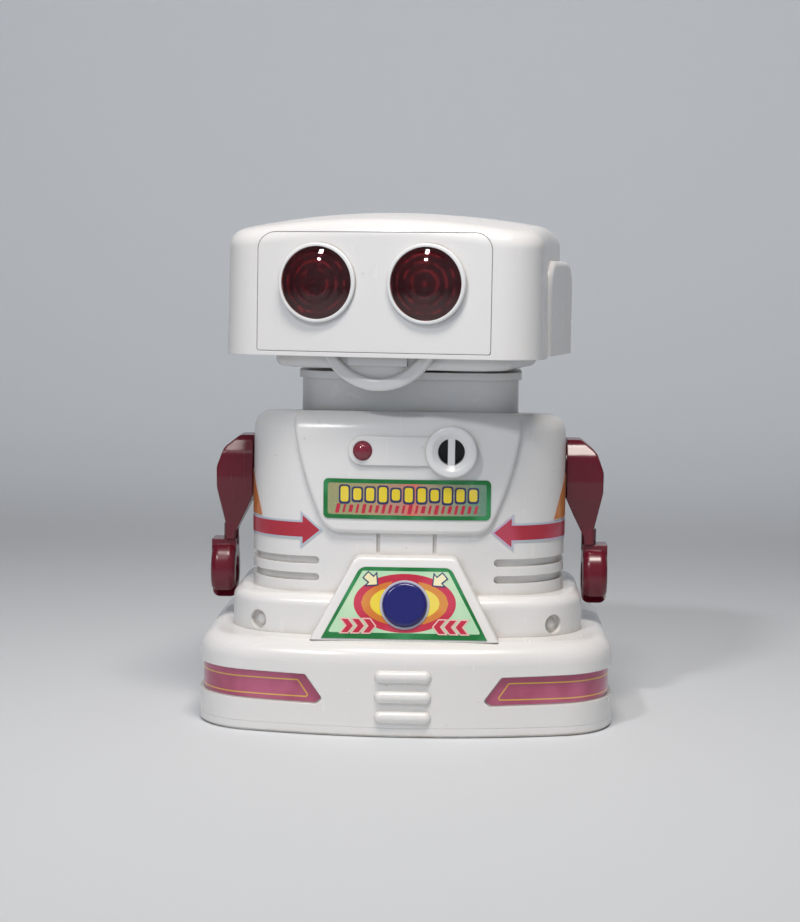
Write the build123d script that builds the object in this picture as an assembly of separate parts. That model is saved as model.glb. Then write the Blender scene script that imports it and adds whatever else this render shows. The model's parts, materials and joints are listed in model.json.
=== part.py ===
from build123d import *
import math
import os

# A battery-powered talking toy robot that stands on a wide base.
# Millimetres, +Z up. The robot faces -Y, so its own left side is +X.
# The origin is the centre of the base's underside.

# ---------------------------------------------------------------- driving dimensions
WALL = 2.0                      # moulded shells
SEAM = 0.1                      # half the visible gap where two shells meet
SLIP = 0.05                     # radial running clearance of a shaft in its bore
BOW = 190.0                     # radius of the gently bowed fronts of base, hip and torso
DECAL = 0.25                    # thickness of a stuck-on label

BASE_HALF, BASE_FRONT, BASE_BACK = 67.45, -57.0, 58.25
BASE_TOP, BASE_CORNER, BASE_EDGE, BASE_WALL = 29.6, 22.0, 6.5, 3.0
PAN_TOP = 3.0                   # base pan thickness, where the base shell starts
STRIPE_LOW, STRIPE_HIGH, STRIPE_DEPTH = 9.9, 19.3, 1.5
STRIPE_TIP, STRIPE_TIP_Z, STRIPE_SHOULDER = 25.4, 11.7, 31.0
STRIPE_RISE = 0.7               # how much higher the stripe lies at its outer end
STRIPE_END_Y = 10.0             # where the stripe stops on the side of the base
BAR_HALF, BAR_RADIUS, BAR_PITCH, BAR_MID_Z = 9.0, 2.05, 6.45, 12.9

HIP_HALF, HIP_FRONT, HIP_BACK = 57.8, -43.0, 40.0
HIP_TOP, HIP_CORNER, HIP_EDGE = 42.2, 22.0, 3.5
DIMPLE_X, DIMPLE_Z, DIMPLE_RADIUS, DIMPLE_DEPTH = 48.2, 33.4, 3.1, 2.6

TORSO_HALF, TORSO_FRONT, TORSO_BACK = 51.9, -36.0, 31.0
TORSO_TOP, TORSO_CORNER, TORSO_EDGE = 101.1, 22.0, 6.0
TORSO_CREST_Y, TORSO_FALL = -27.0, 3.5     # the top slopes down to the back from here, in degrees
RIB_HEIGHTS, RIB_WIDTH, RIB_DEPTH, RIB_END = (47.2, 52.7), 2.4, 1.3, 28.4
NOTCH_X, NOTCH_LOW, NOTCH_HIGH, NOTCH_WIDTH = 9.1, 55.7, 62.6, 1.1

PANEL_RISE, PANEL_FOOT_Z, PANEL_WAIST_Z = 1.8, 62.1, 79.0
PANEL_TOP_HALF, PANEL_WAIST_HALF, PANEL_FOOT_HALF, PANEL_CORNER = 37.4, 32.9, 25.9, 7.0
PANEL_ROUND = 1.5
SENSOR_Z, LED_X, MIC_X = 89.0, -14.4, 14.1
STRIP_RISE, STRIP_HALF = 0.8, 4.65
LED_RADIUS, MIC_RADIUS, MIC_HOLE, MIC_BAR, MIC_DISH = 3.05, 8.3, 4.3, 2.3, 1.4
LABEL_HALF, LABEL_LOW, LABEL_HIGH = 27.0, 66.9, 79.8

PLATE_TOP_HALF, PLATE_FOOT_HALF = 16.2, 30.0
PLATE_TOP_Z, PLATE_TOP_Y, PLATE_FOOT_Y, PLATE_BORDER = 55.1, -42.0, -50.5, 2.9
PLATE_LEAN = math.degrees(math.atan2(PLATE_TOP_Y - PLATE_FOOT_Y, PLATE_TOP_Z - BASE_TOP))
PLATE_ROUND = 1.0
BUTTON_Z, BUTTON_RADIUS, BUTTON_TRAVEL = 40.6, 7.1, 2.0

NECK_HALF_X, NECK_HALF_Y, NECK_CORNER = 36.0, 25.0, 14.0
NECK_RIM_LOW, NECK_RIM_TOP, NECK_RIM_OUT = 111.3, 113.75, 1.0
COLLAR_FLOOR = 103.2            # where the hollow inside the collar starts
SPINDLE_RADIUS, SPINDLE_BORE = 8.0, 5.5

HEAD_REST_TURN = -13.0          # the head stands turned to its own right
HEAD_HALF, HEAD_REAR_HALF, HEAD_FRONT, HEAD_BACK = 53.1, 46.1, -52.0, 34.0
HEAD_CORNER, HEAD_REAR_CORNER, HEAD_BOW = 14.0, 16.0, 400.0
HEAD_BOTTOM, HEAD_CROWN, HEAD_CROWN_Y, HEAD_TOP_EDGE = 119.3, 166.0, -6.0, 6.0
HEAD_DRAFT = 0.8                # how much narrower each side is at the crown than at the bottom
HEAD_SEAM_Y, HEAD_STEP = -25.0, 0.4        # the rear shell stands this much inside the front one
HEAD_DOME = 255.0               # radius of the shallow dome on top of the head
FLOOR_HALF, FLOOR_FRONT, FLOOR_BACK, FLOOR_LOW = 39.7, -37.5, 29.0, 115.0
FACE_HALF, FACE_LOW, FACE_HIGH, FACE_CORNER, FACE_GAP = 38.0, 120.9, 158.3, 5.5, 0.15
EYE_X, EYE_Z, LENS_RADIUS, BEZEL_RADIUS, LENS_SAG = 17.75, 142.5, 11.4, 12.6, 2.5
EAR_FRONT, EAR_BACK, EAR_TOP, EAR_OUT = -22.0, 17.0, 150.5, 51.6

JAW_RADIUS, JAW_Z, JAW_FRONT, JAW_BACK, JAW_TOP = 20.0, 128.4, -44.5, -40.0, 129.0
JAW_RIM = 4.0
JAW_PIVOT_Y, JAW_PIVOT_Z, JAW_ARM_X = 16.0, 127.5, 13.5

FLASH_END_Y = -10.5             # where the orange side decals stop, short of the shoulder
SHOULDER_Z, SHOULDER_RADIUS, ARM_INNER, ARM_ROUND = 80.0, 6.0, 52.7, 0.9
CLAW_Z, CLAW_RADIUS, CLAW_INNER_X, CLAW_OUTER_X = 45.0, 10.0, 58.8, 67.0

CELL_RADIUS, CELL_LENGTH, CELL_PITCH, CELL_Z = 7.1, 49.2, 15.2, 10.3
BOX_HALF_X, BOX_HALF_Y, BOX_TOP, BOX_WALL = 30.6, 27.0, 18.0, 1.5
DOOR_HALF, DOOR_FRONT, DOOR_LOW, DOOR_TOP = 30.8, -29.8, 0.3, 2.2
SPEAKER_Z, SPEAKER_RADIUS = 67.0, 24.4
CASE_SCREW_SEAT = 10.0          # Y of the ledge under each case screw's head
BOARD_FRONT, BOARD_BACK, BOARD_HALF, BOARD_LOW, BOARD_HIGH = -22.0, -20.4, 32.5, 58.0, 93.0
WIRE_RADIUS = 0.7


# ---------------------------------------------------------------- shape helpers
def sag(x, radius):
    """How far a circle of this radius falls away at a distance x from its crown."""
    return radius - math.sqrt(radius**2 - x**2)


def plan_outline(half, front, back, corner, bow=BOW, rear_half=None, rear_corner=None):
    """Plan view outline with a bowed front, straight sides and rounded corners."""
    rear_half = rear_half or half
    edge_y = front + sag(half, bow)
    front_edge = ThreePointArc((-half, edge_y), (0, front), (half, edge_y))
    rest = Polyline((half, edge_y), (rear_half, back), (-rear_half, back), (-half, edge_y))
    face = make_face(Curve() + [front_edge, rest])
    face = fillet([v for v in face.vertices() if v.Y < edge_y + 1], corner)
    return fillet([v for v in face.vertices() if v.Y > back - 0.1], rear_corner or corner)


def prism(face, low, high):
    """Extrudes a plan outline between two heights."""
    return extrude(Pos(0, 0, low) * face, high - low)


def rounded_block(face, low, high, edge):
    """A prism with its top edge rounded."""
    block = prism(face, low, high)
    return fillet(block.edges().group_by(Axis.Z)[-1], edge)


def from_front(face, y_near, y_far):
    """Extrudes an outline drawn in the front view (x, z) between two depths."""
    return extrude(Plane.XZ.offset(-y_far) * face, y_far - y_near)


def from_side(face, x_low, x_high):
    """Extrudes an outline drawn in the side view (y, z) between two widths."""
    return extrude(Plane.YZ.offset(x_low) * face, x_high - x_low)


def box_between(low, high):
    """A box given by its lowest and highest corners."""
    size = [b - a for a, b in zip(low, high)]
    middle = [(a + b) / 2 for a, b in zip(low, high)]
    return Pos(*middle) * Box(*size)


def rod(radius, start, end):
    """A cylinder between two points."""
    start, end = Vector(*start), Vector(*end)
    return extrude(Plane(origin=start, z_dir=end - start) * Circle(radius), (end - start).length)


def tube(outer, inner, start, end):
    """A hollow cylinder between two points."""
    return rod(outer, start, end) - rod(inner, start, end)


def both_sides(part):
    """A part on the +X side together with its mirror image."""
    return part + mirror(part, about=Plane.YZ)


def joined(parts):
    """Several solids as one group."""
    return Part() + parts


def wire_along(points):
    """A round insulated wire through some points."""
    path = Spline(*points)
    return sweep(Plane(origin=path @ 0, z_dir=path % 0) * Circle(WIRE_RADIUS), path=path)


def screw(head, tip, head_radius=3.0, shank_radius=1.5, head_length=1.8):
    """A pan-head screw with a cross recess, from the top of its head to its tip."""
    head, tip = Vector(*head), Vector(*tip)
    inward = (tip - head).normalized()
    plane = Plane(origin=head, z_dir=inward)
    body = extrude(plane * Circle(head_radius), head_length)
    body += extrude(plane * Circle(shank_radius), (tip - head).length)
    cross = Rectangle(head_radius * 1.1, 0.7) + Rectangle(0.7, head_radius * 1.1)
    return body - extrude(plane * cross, head_length * 0.6)


# ---------------------------------------------------------------- base
def base_plan(inset=0.0):
    return plan_outline(BASE_HALF - inset, BASE_FRONT + inset, BASE_BACK - inset,
                        BASE_CORNER - inset, BOW - inset)


def stripe_outline(inset=0.0):
    """The long tapered field on the +X half of the base, in the front view."""
    far = BASE_HALF + 10
    face = make_face(Polyline(
        (STRIPE_TIP + 2.0 + inset, STRIPE_LOW + inset), (STRIPE_TIP + inset, STRIPE_TIP_Z),
        (STRIPE_SHOULDER + inset, STRIPE_HIGH - inset), (far, STRIPE_HIGH + STRIPE_RISE - inset),
        (far, STRIPE_LOW + STRIPE_RISE + inset), close=True))
    return fillet([v for v in face.vertices() if v.X < far - 1], 0.9)


def wrap_around(outer, inner, outline, y_end):
    """The layer between two nested solids, where a front-view outline covers it."""
    return (outer - inner) & from_front(outline, -80, y_end)


def base_screw_places():
    return [(sx * 50, sy * 34) for sx in (-1, 1) for sy in (-1, 1)]


def body_screw_places():
    return [(sx * 44, sy * 18) for sx in (-1, 1) for sy in (-1, 1)]


def base_shell():
    shell = rounded_block(base_plan(), PAN_TOP, BASE_TOP, BASE_EDGE)
    shell -= rounded_block(base_plan(BASE_WALL), 0, BASE_TOP - BASE_WALL, BASE_EDGE - BASE_WALL)
    groove = wrap_around(prism(base_plan(-5), 5, 25), prism(base_plan(STRIPE_DEPTH), 5, 25),
                         stripe_outline(), STRIPE_END_Y)
    shell -= both_sides(groove)
    shell -= box_between((-22, -14, 20), (22, 14, 40))
    for step in (-1, 0, 1):
        z = BAR_MID_Z + step * BAR_PITCH
        y, x = BASE_FRONT + 0.5, BAR_HALF - BAR_RADIUS
        bar = rod(BAR_RADIUS, (-x, y, z), (x, y, z)) + Pos(-x, y, z) * Sphere(BAR_RADIUS)
        shell += bar + Pos(x, y, z) * Sphere(BAR_RADIUS)
    for x, y in base_screw_places():
        shell += rod(4, (x, y, PAN_TOP), (x, y, BASE_TOP - 2))
        shell -= rod(1.52, (x, y, 0), (x, y, 15))
    for x, y in body_screw_places():
        shell -= rod(1.6, (x, y, 20), (x, y, 40))
    return shell


def base_pan():
    pan = prism(base_plan(), 0, PAN_TOP)
    pan = chamfer(pan.edges().group_by(Axis.Z)[0], 0.8)
    lip = base_plan(BASE_WALL + 0.2)
    pan += prism(lip, PAN_TOP, 6) - prism(base_plan(BASE_WALL + 1.6), PAN_TOP, 6)
    outer_x, outer_y = BOX_HALF_X + BOX_WALL, BOX_HALF_Y + BOX_WALL
    pan += box_between((-outer_x, -outer_y, 2.5), (outer_x, outer_y, BOX_TOP + BOX_WALL))
    pan -= box_between((-BOX_HALF_X, -BOX_HALF_Y, -1), (BOX_HALF_X, BOX_HALF_Y, BOX_TOP))
    slot_top = DOOR_TOP + 0.1
    pan -= box_between((-DOOR_HALF - 0.2, DOOR_FRONT - 0.2, -1), (DOOR_HALF + 0.2, 80, slot_top))
    pan -= box_between((-DOOR_HALF - 1.8, DOOR_FRONT - 0.2, 1.3), (DOOR_HALF + 1.8, 80, slot_top))
    for x, y in base_screw_places():
        pan -= rod(4.2, (x, y, PAN_TOP), (x, y, 8))
        pan -= rod(1.7, (x, y, -1), (x, y, 8)) + rod(3.2, (x, y, -1), (x, y, 1.9))
    return pan


def battery_door():
    within = prism(base_plan(0.2), DOOR_LOW, DOOR_TOP)
    door = box_between((-DOOR_HALF, DOOR_FRONT, 0), (DOOR_HALF, 80, 5)) & within
    tongue = box_between((-DOOR_HALF - 1.6, DOOR_FRONT, 1.4), (DOOR_HALF + 1.6, 40, DOOR_TOP))
    door += tongue
    for step in range(5):
        y = 40 + 2.2 * step
        door -= box_between((-9, y, 0), (9, y + 1.0, DOOR_LOW + 0.5))
    return door


def cell_places():
    """Each cell's X and the way its positive end points along Y."""
    return [((i - 1.5) * CELL_PITCH, 1 if i % 2 == 0 else -1) for i in range(4)]


def batteries():
    cells = []
    for x, way in cell_places():
        tip = way * (BOX_HALF_Y - 0.4)
        shoulder = tip - way * 1.3
        end = shoulder - way * CELL_LENGTH
        cells.append(rod(CELL_RADIUS, (x, end, CELL_Z), (x, shoulder, CELL_Z))
                     + rod(2.7, (x, shoulder, CELL_Z), (x, tip, CELL_Z)))
    return joined(cells)


def battery_plates():
    plates = []
    for x, way in cell_places():
        y0, y1 = sorted((way * BOX_HALF_Y, way * (BOX_HALF_Y - 0.4)))
        plates.append(box_between((x - 5, y0, CELL_Z - 5), (x + 5, y1, CELL_Z + 5)))
    return joined(plates)


def battery_springs():
    springs = []
    wire, radius, length = 0.35, 3.2, 2.2
    for x, way in cell_places():
        coil = Helix(pitch=1.0, height=length, radius=radius)
        profile = Plane(origin=coil @ 0, z_dir=coil % 0) * Circle(wire)
        spring = sweep(profile, path=coil, is_frenet=True)
        turn = 90 if way > 0 else -90
        start = -way * (BOX_HALF_Y - wire - 0.05)
        springs.append(Pos(x, start, CELL_Z) * Rot(-turn, 0, 0) * spring)
    return joined(springs)


def base_screws():
    return joined([screw((x, y, 0.1), (x, y, 13)) for x, y in base_screw_places()])


def body_screws():
    top = BASE_TOP - BASE_WALL
    return joined([screw((x, y, top - 1.8), (x, y, 38)) for x, y in body_screw_places()])


def base_stripes():
    outer = prism(base_plan(STRIPE_DEPTH - DECAL), 5, 25)
    inner = prism(base_plan(STRIPE_DEPTH), 5, 25)
    return both_sides(wrap_around(outer, inner, stripe_outline(0.35), STRIPE_END_Y - 0.4))


# ---------------------------------------------------------------- body
def hip_block(inset=0.0):
    face = plan_outline(HIP_HALF - inset, HIP_FRONT + inset, HIP_BACK - inset,
                        HIP_CORNER - inset, BOW - inset)
    return rounded_block(face, BASE_TOP + inset, HIP_TOP - inset, HIP_EDGE - inset / 2)


def torso_block(inset=0.0):
    face = plan_outline(TORSO_HALF - inset, TORSO_FRONT + inset, TORSO_BACK - inset,
                        TORSO_CORNER - inset, BOW - inset)
    block = prism(face, HIP_TOP - 3, TORSO_TOP + 5)
    crest = Plane(origin=(0, TORSO_CREST_Y, TORSO_TOP - max(inset, 0)))
    block -= extrude(crest.rotated((-TORSO_FALL, 0, 0)) * Rectangle(200, 200), 30)
    top_edges = [e for e in block.edges() if e.center().Z > TORSO_TOP - 8]
    return fillet(top_edges, TORSO_EDGE - inset)


def chest_outline():
    """The chest panel's front view: curved sides that narrow towards a rounded foot."""
    right = ThreePointArc((PANEL_TOP_HALF, TORSO_TOP + 1), (PANEL_WAIST_HALF, PANEL_WAIST_Z),
                          (PANEL_FOOT_HALF, PANEL_FOOT_Z))
    left = mirror(right, about=Plane.YZ)
    foot = Line((PANEL_FOOT_HALF, PANEL_FOOT_Z), (-PANEL_FOOT_HALF, PANEL_FOOT_Z))
    top = Line((PANEL_TOP_HALF, TORSO_TOP + 1), (-PANEL_TOP_HALF, TORSO_TOP + 1))
    face = make_face(Curve() + [right, left, foot, top])
    return fillet([v for v in face.vertices() if v.Y < PANEL_FOOT_Z + 1], PANEL_CORNER)


def plate_frame():
    """The leaning face of the button plate: X to the side, Y up the slope, Z outwards."""
    y = PLATE_TOP_Y - (PLATE_TOP_Z - BUTTON_Z) * math.tan(math.radians(PLATE_LEAN))
    lean = math.radians(PLATE_LEAN)
    return Plane(origin=(0, y, BUTTON_Z), x_dir=(1, 0, 0), z_dir=(0, -math.cos(lean), math.sin(lean)))


def plate_outline(inset=0.0, foot_inset=0.0):
    """The button plate's front view, a trapezium."""
    slope = (PLATE_FOOT_HALF - PLATE_TOP_HALF) / (PLATE_TOP_Z - BASE_TOP)
    foot = BASE_TOP + foot_inset
    side = inset * math.sqrt(1 + slope**2)
    top_half = PLATE_TOP_HALF - side + slope * inset
    foot_half = PLATE_FOOT_HALF - side - slope * foot_inset
    face = make_face(Polyline((-foot_half, foot), (foot_half, foot), (top_half, PLATE_TOP_Z - inset),
                              (-top_half, PLATE_TOP_Z - inset), close=True))
    return fillet([v for v in face.vertices() if v.Y > foot + 1], 3.2)


def button_plate(inset=0.0):
    """The wedge that leans forward from the torso and carries the button."""
    across = from_front(plate_outline(inset), -80, -28)
    behind = extrude(plate_frame().offset(-inset) * Rectangle(120, 120), -60)
    return across & behind


def along_button(distance):
    """A point on the button's axis, measured outwards from the plate's face."""
    return tuple(plate_frame().offset(distance).origin)


def sensor_strip():
    """The raised bar that runs from the indicator lamp to the microphone."""
    span = MIC_X - LED_X + 2 * STRIP_HALF
    middle = (MIC_X + LED_X) / 2
    return Pos(middle, SENSOR_Z) * SlotOverall(span, 2 * STRIP_HALF)


def case_screw_places():
    return [(sx * 38, z) for sx in (-1, 1) for z in (50.0, 91.0)]


def board_post_places():
    return [(sx * 29, z) for sx in (-1, 1) for z in (61.5, 84.0)]


def corner_normal():
    """The direction out of the hip's rounded front corner at the dimple."""
    across = (DIMPLE_X - (HIP_HALF - HIP_CORNER)) / HIP_CORNER
    return Vector(across, -math.sqrt(1 - across**2), 0)


def body_outer():
    body = hip_block() + torso_block()
    core = prism(plan_outline(TORSO_HALF - RIB_DEPTH, TORSO_FRONT + RIB_DEPTH, TORSO_BACK - RIB_DEPTH,
                              TORSO_CORNER - RIB_DEPTH, BOW - RIB_DEPTH), 30, 70)
    for height in RIB_HEIGHTS:
        length = TORSO_HALF + 20 - RIB_END
        slot = Pos(RIB_END + length / 2, height) * SlotOverall(length, RIB_WIDTH)
        body -= both_sides(from_front(slot, -80, 80) - core)
    for sx in (-1, 1):
        notch = Pos(sx * NOTCH_X, (NOTCH_LOW + NOTCH_HIGH) / 2) * SlotOverall(
            NOTCH_HIGH - NOTCH_LOW, NOTCH_WIDTH, rotation=90)
        body -= from_front(notch, TORSO_FRONT - 1, TORSO_FRONT + 0.9)
    panel = from_front(chest_outline(), -80, -20) & torso_block(-PANEL_RISE)
    rim = [e for e in panel.edges() if e.center().Y < TORSO_FRONT + 4 and e.center().Z < TORSO_TOP - 8
           and e.length > 3]
    panel = fillet(rim, PANEL_ROUND)
    strip = from_front(sensor_strip(), -80, -20) & torso_block(-PANEL_RISE - STRIP_RISE)
    plate = button_plate()
    front_edges = [e for e in plate.edges() if abs(plate_frame().to_local_coords(e.center()).Z) < 0.01]
    plate = fillet([e for e in front_edges if e.center().Z > BASE_TOP + 0.1], PLATE_ROUND)
    return body + panel + strip + plate


def body_shell():
    """Front and back halves of the body as one hollow shell."""
    shell = body_outer()
    for sx in (-1, 1):
        normal = corner_normal()
        normal = Vector(sx * normal.X, normal.Y, 0)
        mouth = Vector(sx * DIMPLE_X, HIP_FRONT + 7.1, DIMPLE_Z)
        shell -= rod(DIMPLE_RADIUS, mouth + normal * 4, mouth - normal * DIMPLE_DEPTH)
        dome = mouth - normal * (DIMPLE_DEPTH + 2.0)
        shell += Pos(*dome) * Sphere(3.0) & rod(2.3, mouth, mouth - normal * 6)
    above_floor = box_between((-50, -80, BASE_TOP + 0.7), (50, 0, 80))
    cavity = hip_block(WALL) + torso_block(WALL) + (button_plate(2.6) & above_floor)
    for sx in (-1, 1):
        cavity -= rod(4.6, (sx * DIMPLE_X, -36, DIMPLE_Z), (sx * (DIMPLE_X - 4.2), -30, DIMPLE_Z))
    shell -= cavity
    shell -= box_between((-22, -14, 20), (22, 14, HIP_TOP - 8))
    shell -= rod(21.0, (0, 0, TORSO_TOP - 9), (0, 0, TORSO_TOP + 5))
    for sx in (-1, 1):
        shell += rod(9, (sx * 47.9, 0, SHOULDER_Z), (sx * (TORSO_HALF - 0.5), 0, SHOULDER_Z))
        shell -= rod(SHOULDER_RADIUS + SLIP, (sx * 40, 0, SHOULDER_Z), (sx * 60, 0, SHOULDER_Z))
    for x, y in body_screw_places():
        shell += rod(4, (x, y, BASE_TOP + 1), (x, y, HIP_TOP - 1.5))
        shell -= rod(1.52, (x, y, BASE_TOP - 1), (x, y, 39))
    return shell


def body_front(shell):
    part = shell & box_between((-100, -100, 0), (100, -SEAM, 120))
    within = torso_block(RIB_DEPTH + 0.3)
    for x, z in case_screw_places():
        part += rod(4.5, (x, TORSO_FRONT, z), (x, -SEAM, z)) & within
        part -= rod(1.52, (x, -14, z), (x, 1, z))
    for x, z in board_post_places():
        part += rod(2.5, (x, TORSO_FRONT, z), (x, BOARD_FRONT, z)) & within
        part -= rod(1.22, (x, -30, z), (x, BOARD_FRONT + 1, z))
    part -= rod(LED_RADIUS + SLIP, (LED_X, -60, SENSOR_Z), (LED_X, -30, SENSOR_Z))
    part -= rod(6.0, (MIC_X, -60, SENSOR_Z), (MIC_X, -30, SENSOR_Z))
    part -= rod(BUTTON_RADIUS + 0.8, along_button(5), along_button(-8))
    shelf = plate_frame().offset(-17.6) * Pos(0, -2.5) * Rectangle(16, 11)
    part += extrude(shelf, -2) & box_between((-50, -41, BASE_TOP + 0.5), (50, 0, 60))
    return part


def body_back(shell):
    part = shell & box_between((-100, SEAM, 0), (100, 100, 120))
    within = torso_block(0.5)
    for x, z in case_screw_places():
        part += rod(4.5, (x, SEAM, z), (x, TORSO_BACK + 2, z)) & within
        part -= rod(3.2, (x, CASE_SCREW_SEAT, z), (x, TORSO_BACK + 2, z)) + rod(1.7, (x, -1, z), (x, 12, z))
    for step in range(-4, 5):
        z = SPEAKER_Z + step * 4.6
        half = math.sqrt(22.0**2 - (step * 4.6) ** 2)
        slot = Pos(0, z) * SlotOverall(2 * half, 2.0)
        part -= from_front(slot, TORSO_BACK - 5, TORSO_BACK + 5)
    part -= box_between((-7, HIP_BACK - 4, 34.1), (7, HIP_BACK + 4, 37.5))
    return part


def case_screws():
    return joined([screw((x, CASE_SCREW_SEAT + 1.8, z), (x, -12, z)) for x, z in case_screw_places()])


def neck_collar():
    face = RectangleRounded(2 * NECK_HALF_X, 2 * NECK_HALF_Y, NECK_CORNER)
    rim = RectangleRounded(2 * (NECK_HALF_X + NECK_RIM_OUT), 2 * (NECK_HALF_Y + NECK_RIM_OUT),
                           NECK_CORNER + NECK_RIM_OUT)
    inner = RectangleRounded(2 * (NECK_HALF_X - WALL), 2 * (NECK_HALF_Y - WALL), NECK_CORNER - WALL)
    collar = prism(face, TORSO_TOP - 8, NECK_RIM_LOW) - torso_block()
    collar += prism(rim, NECK_RIM_LOW, NECK_RIM_TOP)
    collar -= prism(inner, COLLAR_FLOOR, NECK_RIM_LOW)
    collar += rod(20.9, (0, 0, COLLAR_FLOOR - 9), (0, 0, COLLAR_FLOOR - 1))
    collar -= rod(18.5, (0, 0, COLLAR_FLOOR - 10), (0, 0, COLLAR_FLOOR + 1))
    return collar - rod(SPINDLE_RADIUS + SLIP, (0, 0, 105), (0, 0, 120))


def microphone_bezel():
    front, seat = TORSO_FRONT - 4.3, TORSO_FRONT - 0.5
    ring = rod(MIC_RADIUS, (MIC_X, front, SENSOR_Z), (MIC_X, seat, SENSOR_Z))
    mouth = Plane(origin=(MIC_X, front, SENSOR_Z), z_dir=(0, 1, 0))
    ring -= loft([mouth * Circle(MIC_HOLE + 2.0), mouth.offset(MIC_DISH) * Circle(MIC_HOLE)])
    ring = fillet(ring.edges().group_by(Axis.Y)[0], 0.9)
    ring -= torso_block(-PANEL_RISE - STRIP_RISE) & from_front(sensor_strip(), -80, -20)
    ring -= torso_block(-PANEL_RISE)
    ring += rod(6.0, (MIC_X, seat, SENSOR_Z), (MIC_X, -33.2, SENSOR_Z)) - rod(
        MIC_HOLE, (MIC_X, -60, SENSOR_Z), (MIC_X, -30, SENSOR_Z))
    hole = rod(MIC_HOLE, (MIC_X, -60, SENSOR_Z), (MIC_X, -36.5, SENSOR_Z))
    ring += rod(6.0, (MIC_X, seat, SENSOR_Z), (MIC_X, front + MIC_DISH, SENSOR_Z))
    hole -= box_between((MIC_X - MIC_BAR / 2, -60, 80), (MIC_X + MIC_BAR / 2, -30, 100))
    return ring - hole


def microphone():
    return rod(4.85, (MIC_X, -33.1, SENSOR_Z), (MIC_X, -27, SENSOR_Z)) + rod(
        4.0, (MIC_X, -27, SENSOR_Z), (MIC_X, BOARD_FRONT, SENSOR_Z))


def indicator_lamp():
    nose = TORSO_FRONT - 4.0
    lamp = rod(LED_RADIUS, (LED_X, nose + 1.6, SENSOR_Z), (LED_X, -30, SENSOR_Z))
    lamp += Pos(LED_X, nose + LED_RADIUS, SENSOR_Z) * Sphere(LED_RADIUS)
    legs = [rod(0.3, (LED_X + s * 1.27, -30, SENSOR_Z), (LED_X + s * 1.27, BOARD_FRONT, SENSOR_Z))
            for s in (-1, 1)]
    return lamp + legs


def circuit_board():
    board = box_between((-BOARD_HALF, BOARD_FRONT, BOARD_LOW), (BOARD_HALF, BOARD_BACK, BOARD_HIGH))
    for x, z in board_post_places():
        board -= rod(1.3, (x, -30, z), (x, -10, z))
    return board


def board_components():
    y = BOARD_BACK
    chips = [box_between((-18, y, 68), (6, y + 3.6, 76)), box_between((12, y, 66), (19, y + 3.6, 84))]
    cans = [rod(r, (x, y, z), (x, y + h, z))
            for r, h, x, z in ((4, 9, -24, 74), (3.2, 7, -21, 63.5), (2.5, 6, 25, 64.5))]
    beads = [rod(1.1, (x, y + 1.1, 80.5), (x, y + 1.1, 86.5)) for x in (-15, -11, -7, -3)]
    return joined(chips + cans + beads)


def board_screws():
    return joined([screw((x, BOARD_BACK + 1.2, z), (x, -28, z), 2.2, 1.2, 1.2)
                   for x, z in board_post_places()])


def behind_grille(depth):
    """A point on the speaker's axis, measured forwards from the inside of the back wall."""
    return (0, TORSO_BACK - WALL - depth, SPEAKER_Z)


def speaker_basket():
    basket = rod(SPEAKER_RADIUS, behind_grille(2.2), behind_grille(0))
    cone = Plane(origin=behind_grille(12), z_dir=(0, 1, 0))
    basket += loft([cone * Circle(13), cone.offset(10) * Circle(SPEAKER_RADIUS - 1)])
    inside = Plane(origin=behind_grille(10.8), z_dir=(0, 1, 0))
    basket -= loft([inside * Circle(11.8), inside.offset(11) * Circle(SPEAKER_RADIUS - 2)])
    return basket - rod(7.2, behind_grille(13), behind_grille(10))


def speaker_cone():
    outer = Plane(origin=behind_grille(9.6), z_dir=(0, 1, 0))
    cone = loft([outer * Circle(7.5), outer.offset(8.6) * Circle(SPEAKER_RADIUS - 4.6)])
    cone -= loft([outer.offset(0.8) * Circle(7.0), outer.offset(8.7) * Circle(SPEAKER_RADIUS - 5.2)])
    dust_cap = Pos(*behind_grille(9.6)) * Sphere(6.5)
    return cone + dust_cap & rod(SPEAKER_RADIUS, behind_grille(9.6), behind_grille(0))


def speaker_magnet():
    magnet = rod(14, behind_grille(21), behind_grille(12))
    return fillet(magnet.edges().group_by(Axis.Y)[0], 1.0)


def try_button():
    plane = plate_frame()
    cap = extrude(plane.offset(-3.5) * Circle(BUTTON_RADIUS), 5.9)
    cap = fillet(cap.edges().sort_by(Axis.Y)[0], 1.2)
    cap += extrude(plane.offset(-4.4) * Circle(BUTTON_RADIUS + 1.3), 1.5)
    return cap + extrude(plane.offset(-8.5) * Circle(3), 5)


def button_bezel():
    plane = plate_frame()
    outer = extrude(plane.offset(-2.6) * Circle(BUTTON_RADIUS + 0.8), 3.3)
    return outer - extrude(plane.offset(-5) * Circle(BUTTON_RADIUS + SLIP), 10)


def button_switch():
    plane = plate_frame()
    switch = extrude(plane.offset(-17.6) * Pos(0, -0.5) * Rectangle(14, 7), 1.4)
    switch += extrude(plane.offset(-16.5) * Rectangle(6, 6), 4.0)
    return switch + extrude(plane.offset(-13) * Circle(1.7), 13 - 8.5 - BUTTON_TRAVEL - 0.2)


def mode_switch():
    return box_between((-11, HIP_BACK - 8, 32.8), (11, HIP_BACK - WALL - 0.4, 38.0)) - box_between(
        (-7, HIP_BACK - 5, 34.0), (7, HIP_BACK, 37.6))


def mode_knob():
    knob = box_between((-2.6, HIP_BACK - 4.9, 34.15), (2.6, HIP_BACK + 2.2, 37.45))
    for step in (-1, 0, 1):
        knob -= box_between((step * 1.5 - 0.3, HIP_BACK + 1.6, 30), (step * 1.5 + 0.3, HIP_BACK + 3, 40))
    return knob


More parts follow.
